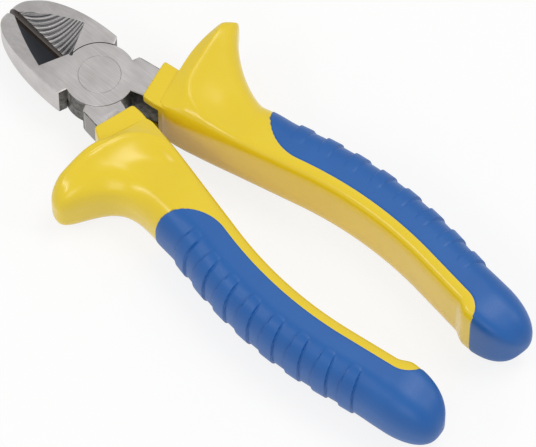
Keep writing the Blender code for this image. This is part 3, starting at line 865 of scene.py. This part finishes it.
# the two faces of a grip differ, and the grips are one moulding turned over:
# the far one shows its sloped face and the near one its lipped face
slopedFace = {
    "foot": 7.9,  # height of the slope where it leaves the collar
    "hornFoot": 7.9,  # and outside the collar
    "tipFoot": 7.9,  # and at the horn's tip
    "noseRound": 0.1,
    "crest": 8.3,
    "pull": 0.005,
    "hornPull": -0.011,
    "crestRound": 0.35,
    "bead": 0.27,  # quick fall right behind the crest, which draws a bright line along it
    "hornFade": 0.75,  # share of the dish that is lost under the horn
    "dish": 1.7,
    "dishLength": 14.0,
    "squareness": 6.0,
    "bandReach": 16.4,  # from the outer middle of the grip round to a band's end
    "bandFade": 11.0,  # the ground between the bands comes back up over this length
}
lippedFace = {
    "foot": 8.0,
    "hornFoot": 9.8,
    "tipFoot": 5.0,
    "noseRound": 0.8,
    "crest": 6.8,
    "pull": 0.0036,
    "hornPull": 0.003,
    "crestRound": 0.35,
    "bead": 0.38,
    "hornFade": 0.4,
    "dish": 1.3,
    "dishLength": 8.5,
    "squareness": 2.15,
    "bandReach": 14.4,
    "bandFade": 5.0,
}
innerMiddle = 4.0  # walk round a grip, from 0 at its outer middle to this at its inner middle, either way


def byFace(key, walk, side):
    # a value of the face that a point lies on
    return np.where(walk * side < 0, slopedFace[key], lippedFace[key])


def buttClose(along, length):
    # 1 along the handle, closing to 0 at its end on a superellipse of the given length
    share = np.clip((along - grip["length"]) / length + 1, 0.0, 1.0)
    return (1 - share ** grip["buttSquareness"]) ** (1 / grip["buttSquareness"])


def hornFlare(along, side):
    # 1 at the guard's front, falling to 0 along the handle: a power of a line, or one over a power
    past = along - guard["peak"]
    straight = np.clip(1 - (past + guard["farLead"]) / guard["farLength"], 0.0, 1.0) ** guard["farFall"]
    rounded = 1 / (1 + (np.maximum(past, 0.0) / guard["nearLength"]) ** guard["nearFall"])
    return straight if side < 0 else rounded


def gripExtents(along, side):
    # distances from the path to the inner side, outer side and top, and the horn's flare:
    # guard flare, taper, lip, round front and butt
    flare = hornFlare(along, side)
    taper = grip["outerTaper"] * ramp(along, grip["bendStart"], grip["taperEnd"] - grip["bendStart"])
    lip = grip["lipStep"] * ramp(along, grip["lipStart"], grip["lipLength"])
    front = np.clip((guard["peak"] - along) / guard["round"], 0.0, 1.0)
    cut = guard["round"] * circleFall(front)
    inner = grip["inner"] - guard["innerWaist"] * flare + lip - cut / 2
    outer = grip["outer"] - taper + (guard["reach"] - grip["outer"]) * flare - cut
    inner = inner * buttClose(along, grip["innerButt"])
    outer = outer * buttClose(along, grip["outerButt"])
    return inner, outer, grip["halfThickness"] * buttClose(along, grip["buttLength"]), flare


def gripSurface(along, walk, rise, side):
    # superellipse rings: walk goes round a square, 0 at the outer middle, 2 on top, 4 at the inner middle;
    # rise lifts a point along the ring's normal
    corners = [-4, -3, -1, 1, 3, 4]
    across = np.interp(walk, corners, [-1, -1, 1, 1, -1, -1])
    up = np.interp(walk, corners, [0, -1, -1, 1, 1, 0])
    inner, outer, top, flare = gripExtents(along, side)
    horn = byFace("squareness", walk, side)
    softer = grip["outerSquareness"] + (horn - grip["outerSquareness"]) * flare
    rounder = ramp(along, *guard["rounderFrom"]) * (1 - ramp(along, *guard["rounderTo"])) * (walk * side < 0)
    sharper = grip["innerSquareness"] * (1 + guard["innerSquaring"] * flare * (walk * side > 0))
    sharper = sharper + (guard["innerSquareness"] - grip["innerSquareness"]) * rounder
    power = np.where(across > 0, softer, sharper)
    scale = (np.abs(across) ** power + np.abs(up) ** power) ** (-1 / power)
    across, up = across * scale, up * scale
    reach = np.maximum((outer + inner) / 2, leastSize)
    slopeOut = np.sign(across) * np.abs(across) ** (power - 1) / reach
    slopeUp = np.sign(up) * np.abs(up) ** (power - 1) / np.maximum(top, leastSize)
    size = np.maximum(np.hypot(slopeOut, slopeUp), leastLevel)
    outward = (outer - inner) / 2 + reach * across + rise * slopeOut / size
    return outward, top * up + rise * slopeUp / size


cover = {
    "start": 31.4,
    "round": 12.5,
    "roundFrom": 0.02,  # radians into the round start, where the first ring has some width
    "stripWidth": 3.2,
    "stripEnd": 108.8,
    "stripRound": 5.8,
    "corner": 3.0,  # walk at the edge between the top and the inner side
    "leastShare": -0.98,  # the edge lies no further in than this share of the half width
    "proud": 0.14,
    "sunkRim": 0.12,
    "rimWidth": 0.7,
    "wall": 1.2,
    "seat": 1.0,  # how far the core is sunk under the cover
    "bandFirst": 39.3,
    "bandLength": 4.1,
    "bandTaper": 0.5,  # a band is this much narrower on each side at its ends
    "bandPitch": 7.8,
    "bandCount": 8,
    "bandHeight": 0.5,
    "bandSlope": 0.2,
    "bandCorner": 0.9,
    "bandMargin": 1.5,  # the ground is level again this far past the bands' ends
    "bandsFrom": 8.0,  # it sinks over this length from the start
    "bandsTo": -12.0,  # and comes back up over this one before the strip's end
    "grooveDepth": 0.11,  # fine groove at the foot of a band
    "grooveWidth": 0.22,
    "crowding": 0.7,  # how far the rings draw together at the bands' edges
    "crowdEase": 4.0,
    "tipEase": -1.5,  # relief fades out over the last of the butt
    "walkLength": 8.0,  # surface length of one step of walk
    "rings": (60, 210, 24, 64),  # round start, handle, strip's end and butt
    "buttFrom": 0.996,  # share of the butt's length left at its first ring
    "columns": 161,
}


def coverEdge(along, side):
    # walk at which the cover ends: a round start behind the guard, the bare strip, then round to the inner
    # edge; the outward distance is turned back into walk by solving the superellipse for it, and the ring's
    # outer corner is where its level is a half
    inner, outer = gripExtents(along, side)[:2]
    low = cover["stripWidth"] - grip["inner"]
    back = np.clip((cover["start"] + cover["round"] - along) / cover["round"], 0.0, 1.0)
    bound = low + (outer - low) * circleFall(back)
    middle, reach = (outer - inner) / 2, (outer + inner) / 2
    share = np.clip((bound - middle) / np.maximum(reach, leastSize), cover["leastShare"], 1.0)
    power = np.where(share > 0, grip["outerSquareness"], grip["innerSquareness"])
    level = np.abs(share) ** power
    onTop = 2 - np.sign(share) * (level / np.maximum(1 - level, leastLevel)) ** (1 / power)
    onSide = np.maximum(1 / np.maximum(level, leastLevel) - 1, 0.0) ** (1 / power)
    edge = np.where((share > 0) & (level > 0.5), onSide, onTop)
    end = np.clip((along - cover["stripEnd"]) / cover["stripRound"] + 1, 0.0, 1.0)
    return edge + (cover["corner"] - edge) * circleFall(end)


def insideCover(along, walk, side):
    # distance from the cover's edge over the surface: across it beside the strip, along it past the strip
    beside = (coverEdge(along, side) - np.abs(walk)) * cover["walkLength"]
    fromCorner = np.maximum(cover["corner"] - np.abs(walk), 0.0) * cover["walkLength"]
    past = np.hypot(fromCorner, along - cover["stripEnd"])
    return np.where(along < cover["start"], -1.0, np.where(along < cover["stripEnd"], beside, past))


def faceHeight(face, along, outward, height):
    # the face's height, planed in front to a slope that ends at a crest, with a shallow dish behind it;
    # slope and crest swing back to the inner side as a cube, and the crest bends along the horn as a square
    inward = np.maximum(guard["swingFrom"] - outward, 0.0)
    hornward = np.maximum(outward - guard["swingFrom"], 0.0)
    start = guard["slopeStart"] + guard["startPull"] * inward**3
    crest = face["crest"] + face["pull"] * inward**3 + face["hornPull"] * hornward**2
    share = (along - start) / np.maximum(crest - start, guard["leastSlope"])
    foot = face["foot"] + (face["hornFoot"] - face["foot"]) * ramp(outward, *guard["collarSide"])
    foot = foot + (face["tipFoot"] - face["hornFoot"]) * ramp(outward, *guard["hornTip"])
    nose = np.clip((guard["start"] - along) / face["noseRound"] + 1, 0.0, 1.0)
    slope = foot + (grip["halfThickness"] - foot) * share - face["noseRound"] * circleFall(nose)
    behind = np.maximum(along - crest, 0.0)
    dish = face["dish"] * ramp(behind, guard["land"], face["dishLength"]) * ramp(along, *guard["dishEnd"])
    dish = dish * (1 - face["hornFade"] * ramp(outward, *guard["underHorn"]))
    bead = face["bead"] * (1 - np.exp(-behind / guard["beadWidth"])) * ramp(along, *guard["beadEnd"])
    fall = (dish + bead) * ramp(outward, *guard["innerEdge"]) * ramp(height, *guard["besideTop"])
    return softMin(height, slope, face["crestRound"]) - fall


core = {
    "rings": (26, 120, 70, 50, 16),  # front round, guard, handle, lip and butt
    "guardEnd": 32.0,
    "lipEnd": 112.0,
    "columns": 240,
    "seatEdge": (0.5, 1.5),  # from the cover's edge to where the core sinks, and over what width
}


def coreGrid(side):
    # rings of the grip with its two faces, sunk where the cover lies over it
    frontCount, guardCount, handleCount, lipCount, buttCount = core["rings"]
    front = guard["peak"] - guard["round"] * np.cos(quarterTurn(frontCount))
    flare = np.linspace(guard["peak"], core["guardEnd"], guardCount)[1:]
    handle = np.linspace(core["guardEnd"], grip["lipStart"], handleCount)[1:]
    lip = np.linspace(grip["lipStart"], core["lipEnd"], lipCount)[1:]
    butt = np.linspace(core["lipEnd"], grip["length"] - 2 * cover["seat"], buttCount)[1:]
    along = np.concatenate((front, flare, handle, lip, butt))[:, None]
    walk = np.linspace(-innerMiddle, innerMiddle, core["columns"], endpoint=False)[None, :]
    seat = cover["seat"] * ramp(insideCover(along, walk, side), *core["seatEdge"])
    outward, height = gripSurface(along, walk, -seat, side)
    sloped = faceHeight(slopedFace, along, outward, np.abs(height))
    lipped = faceHeight(lippedFace, along, outward, np.abs(height))
    planed = np.where(height * side < 0, sloped, lipped)
    lean = guard["farLean"] if side < 0 else guard["nearLean"]
    back = lean * (np.maximum(outward - guard["leanFrom"], 0.0) / guard["leanLength"]) ** 2
    return alongGrip(along + back, outward, np.sign(height) * np.maximum(planed, 0.0), side)


collar = {
    "length": 8.0,
    "wall": 1.4,
    "topWall": 2.6,
    "farFlare": -1.0,  # how much further out the outer side is at the back
    "nearFlare": 2.5,
    "innerMost": 6.6,  # the inner side runs no further in than this
    "innerBlend": 0.4,
    "edgeRound": 0.7,
    "rings": (8, 12),  # round the front edge and behind it
    "window": 5.0,
    "windowReach": 25.0,
    "socket": (-3.0, 20.0),  # the shank's hole runs from here to here along the grip
    "gap": 0.12,
}


def collarMesh(side):
    # a rounded bar round the shank: inner side parallel to the tool's centre line, outer side leaning a
    # little, and the front edge a quarter circle
    soft = collar["edgeRound"]
    frontCount, backCount = collar["rings"]
    front = soft * (1 - np.cos(quarterTurn(frontCount)))
    along = np.concatenate((front, np.linspace(soft, collar["length"], backCount)[1:]))[:, None]
    cut = soft - np.sqrt(soft**2 - np.clip(soft - along, 0.0, soft) ** 2)
    half = shank["width"] / 2 + collar["wall"]
    inner = half + along * slopeOf(grip["shankAngle"])
    inner = softMin(inner, collar["innerMost"], collar["innerBlend"]) - cut
    flare = collar["farFlare"] if side < 0 else collar["nearFlare"]
    outer = half + along * flare / collar["length"] - cut
    across, height = roundedRing(-inner, outer, halfHead + collar["topWall"] - cut, soft + 0 * along)
    return meshFrom("collar", alongGrip(along, across, height, side))


def windowMesh(side):
    # a block, because the front of the collar is open on the inner side of the shank
    along = np.array((-joint["spare"], collar["window"]))[:, None]
    half, reach = halfHead + collar["gap"], collar["windowReach"]
    across = np.array((0.0, -reach, -reach, 0.0))[None, :]
    height = np.array((half, half, -half, -half))[None, :]
    return meshFrom("window", alongGrip(along, across, height, side))


def corePiece(name, side, body, node):
    # grip and collar joined, with the shank's socket and the collar's window cut out
    mesh = meshFrom(name, coreGrid(side))
    mesh = carve(mesh, "UNION", collarMesh(side))
    mesh = carve(mesh, "DIFFERENCE", shankMesh(side, collar["gap"], *collar["socket"]))
    mesh = carve(mesh, "DIFFERENCE", windowMesh(side))
    mesh.materials.append(yellowPlastic)
    piece = finishPiece(name, mesh, side, body, node)
    piece.modifiers.new("evenShade", "WEIGHTED_NORMAL").keep_sharp = True


corePiece("farGripCore", -1, "front_half", "far_grip_core")
corePiece("nearGripCore", 1, "back_half", "near_grip_core")


def betweenBands(along, reach, bandReach):
    # depth below the raised bars across the outer side: the distance outside a tapered bar with rounded
    # corners, turned to a step down with a fine groove at its foot
    first = cover["bandFirst"] + cover["bandLength"] / 2
    number = np.clip(np.round((along - first) / cover["bandPitch"]), 0, cover["bandCount"] - 1)
    corner, slope = cover["bandCorner"], cover["bandSlope"]
    half = cover["bandLength"] / 2 - cover["bandTaper"] * np.minimum(reach / bandReach, 1.0)
    across = np.abs(along - first - number * cover["bandPitch"]) - half + corner
    past = reach - bandReach + corner
    rounded = np.hypot(np.maximum(across, 0.0), np.maximum(past, 0.0))
    outside = rounded + np.minimum(np.maximum(across, past), 0.0) - corner
    step = cover["bandHeight"] * ramp(outside, -slope / 2, slope)
    return step + cover["grooveDepth"] * np.exp(-((outside / cover["grooveWidth"] - 1) ** 2))


def coverRings():
    # places along the cover, drawn together at the bands' edges by a sine of two waves to a band,
    # round the start and the strip's end as a circle, and towards the butt's tip as a square
    startCount, handleCount, stopCount, buttCount = cover["rings"]
    roundEnd = cover["start"] + cover["round"]
    stripStop = cover["stripEnd"] - cover["stripRound"]
    angle = np.linspace(cover["roundFrom"], math.pi / 2, startCount)
    start = roundEnd - cover["round"] * np.cos(angle)
    handle = np.linspace(roundEnd, stripStop, handleCount)[1:]
    wave = cover["bandPitch"] / 2 / (2 * math.pi)
    ease = ramp(handle, roundEnd, cover["crowdEase"]) * ramp(handle, stripStop, -cover["crowdEase"])
    handle = handle - cover["crowding"] * ease * wave * np.sin((handle - cover["bandFirst"]) / wave)
    stop = stripStop + cover["stripRound"] * np.sin(quarterTurn(stopCount)[1:])
    left = np.linspace(cover["buttFrom"], 0.0, buttCount) ** 2
    butt = grip["length"] - (grip["length"] - cover["stripEnd"]) * left
    return np.concatenate((start, handle, stop, butt))[:, None]


def coverGrid(side):
    # the grip's own rings between the cover's edges, raised a little, with the bands on top and the rim sunk
    along = coverRings()
    # past the strip more columns open out from the edge, down the inner side
    column = np.linspace(-innerMiddle, innerMiddle, cover["columns"])[None, :]
    opened = np.clip(np.abs(column) - cover["corner"], 0.0, 1.0) * (along > cover["stripEnd"])
    share = np.minimum(np.abs(column) / cover["corner"], 1.0)
    walk = np.sign(column) * (share * coverEdge(along, side) + opened)
    inside = insideCover(along, walk, side)
    rise = (cover["proud"] + cover["sunkRim"]) * ramp(inside, 0.0, cover["rimWidth"]) - cover["sunkRim"]
    reach = np.abs(walk) * cover["walkLength"]
    bandReach = byFace("bandReach", walk, side)
    lowered = ramp(reach, bandReach + cover["bandMargin"], -byFace("bandFade", walk, side))
    ends = ramp(along, cover["start"], cover["bandsFrom"]) * ramp(along, cover["stripEnd"], cover["bandsTo"])
    rise = rise - lowered * ends * betweenBands(along, reach, bandReach)
    rise = rise * ramp(along, grip["length"], cover["tipEase"])
    outward, height = gripSurface(along, walk, rise, side)
    return alongGrip(along, outward, height, side)


def coverPiece(name, side, body, node):
    # the outer surface, with its wall inside it
    mesh = meshFrom(name, coverGrid(side), wrap=False, capped=False)
    mesh.materials.append(bluePlastic)
    piece = finishPiece(name, mesh, side, body, node)
    wall = piece.modifiers.new("wall", "SOLIDIFY")
    wall.thickness = cover["wall"] * mm
    wall.offset = -1.0


coverPiece("farGripCover", -1, "front_half", "far_grip_cover")
coverPiece("nearGripCover", 1, "back_half", "near_grip_cover")

# white paper sweep: matt, nearly white, with a soft contact shadow; sizes in metres
floorLook = {"height": min(cadBox[0].z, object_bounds()[0].z), "size": 6.0, "paper": "#f7f6f4", "glow": 0.82}
pureWhite = "#ffffff"


def showsWhite(tree):
    # 1 for rays that see the background: from the camera, off metal or through glass
    kinds = ("Is Camera Ray", "Is Glossy Ray", "Is Transmission Ray")
    rays = [addNode(tree, "LightPath", {}, output=kind) for kind in kinds]
    seen = addNode(tree, "Math", {0: rays[0], 1: rays[1]}, operation="MAXIMUM")
    return addNode(tree, "Math", {0: seen, 1: rays[2]}, operation="MAXIMUM")


def floorMaterial():
    material, tree = newMaterial("whitePaper")
    share = addNode(tree, "Math", {0: showsWhite(tree), 1: floorLook["glow"]}, operation="MULTIPLY")
    paper = addNode(tree, "BsdfDiffuse", {"Color": floorLook["paper"]})
    glow = addNode(tree, "Emission", {"Color": pureWhite, "Strength": 1.0})
    both = addNode(tree, "MixShader", {0: share, 1: paper, 2: glow})
    addNode(tree, "OutputMaterial", {"Surface": both})
    return material


halfFloor = floorLook["size"] / 2
floorCorners = [(x * halfFloor, y * halfFloor) for x, y in ((-1, -1), (1, -1), (1, 1), (-1, 1))]
floorMesh = bpy.data.meshes.new("floor")
floorMesh.from_pydata([(x, y, floorLook["height"]) for x, y in floorCorners], [], [(0, 1, 2, 3)])
floorMesh.materials.append(floorMaterial())
addPiece("floor", floorMesh)

# pale room: white to the camera, and the light that it sheds is softer
roomLook = {"light": "#f4f5f7", "strength": 0.58}
world = bpy.data.worlds.new("room")
bpy.context.scene.world = world
world.use_nodes = True
air = world.node_tree
air.nodes.clear()
lit = addNode(air, "Background", {"Color": roomLook["light"], "Strength": roomLook["strength"]})
white = addNode(air, "Background", {"Color": pureWhite, "Strength": 1.0})
sky = addNode(air, "MixShader", {0: showsWhite(air), 1: lit, 2: white})
addNode(air, "OutputWorld", {"Surface": sky})

# softboxes: places and sizes in metres, all facing the middle of the tool
lamps = [
    {"name": "overhead", "place": (-0.14, -0.42, 1.12), "size": (0.45, 0.45), "power": 3.8},
    {"name": "front", "place": (0.4, 0.68, 0.77), "size": (0.5, 0.16), "power": 1.7},
    {"name": "rear", "place": (-0.72, -0.58, 0.82), "size": (0.28, 0.28), "power": 1.5},
    {"name": "fill", "place": (-0.5, 0.95, 0.7), "size": (0.6, 0.6), "power": 2.2},
]
lampAim = (-0.055, 0.0, 0.005)
for lamp in lamps:
    light = bpy.data.lights.new(lamp["name"], "AREA")
    light.shape = "RECTANGLE"
    light.size, light.size_y = lamp["size"]
    light.energy = lamp["power"]
    holder = bpy.data.objects.new(lamp["name"], light)
    bpy.context.scene.collection.objects.link(holder)
    holder.location = lamp["place"]
    away = Vector(lamp["place"]) - Vector(lampAim)
    holder.rotation_euler = away.to_track_quat("Z", "Y").to_euler()

# the photograph's viewpoint: long lens from above, behind the handles and on the near one's side;
# place in metres, lens and sensor in millimetres, tilt up from straight down, turn about the upright
view = {
    "place": (-0.539064, 0.528520, 1.306949),
    "tilt": 28.6986,
    "turn": 222.3031,
    "lens": 394.98,
    "sensor": 36.0,
    "clipEnd": 20.0,
}
photoCamera = bpy.data.cameras.new("photoCamera")
photoCamera.lens = view["lens"]
photoCamera.sensor_width = view["sensor"]
photoCamera.clip_end = view["clipEnd"]
cameraHolder = bpy.data.objects.new("photoCamera", photoCamera)
bpy.context.scene.collection.objects.link(cameraHolder)
tilt = Matrix.Rotation(math.radians(view["tilt"]), 4, "X")
turn = Matrix.Rotation(math.radians(view["turn"]), 4, "Z")
cameraHolder.matrix_world = Matrix.Translation(view["place"]) @ turn @ tilt
bpy.context.scene.camera = cameraHolder
bpy.context.scene.view_settings.view_transform = "Standard"
print("stage, lights and camera set")
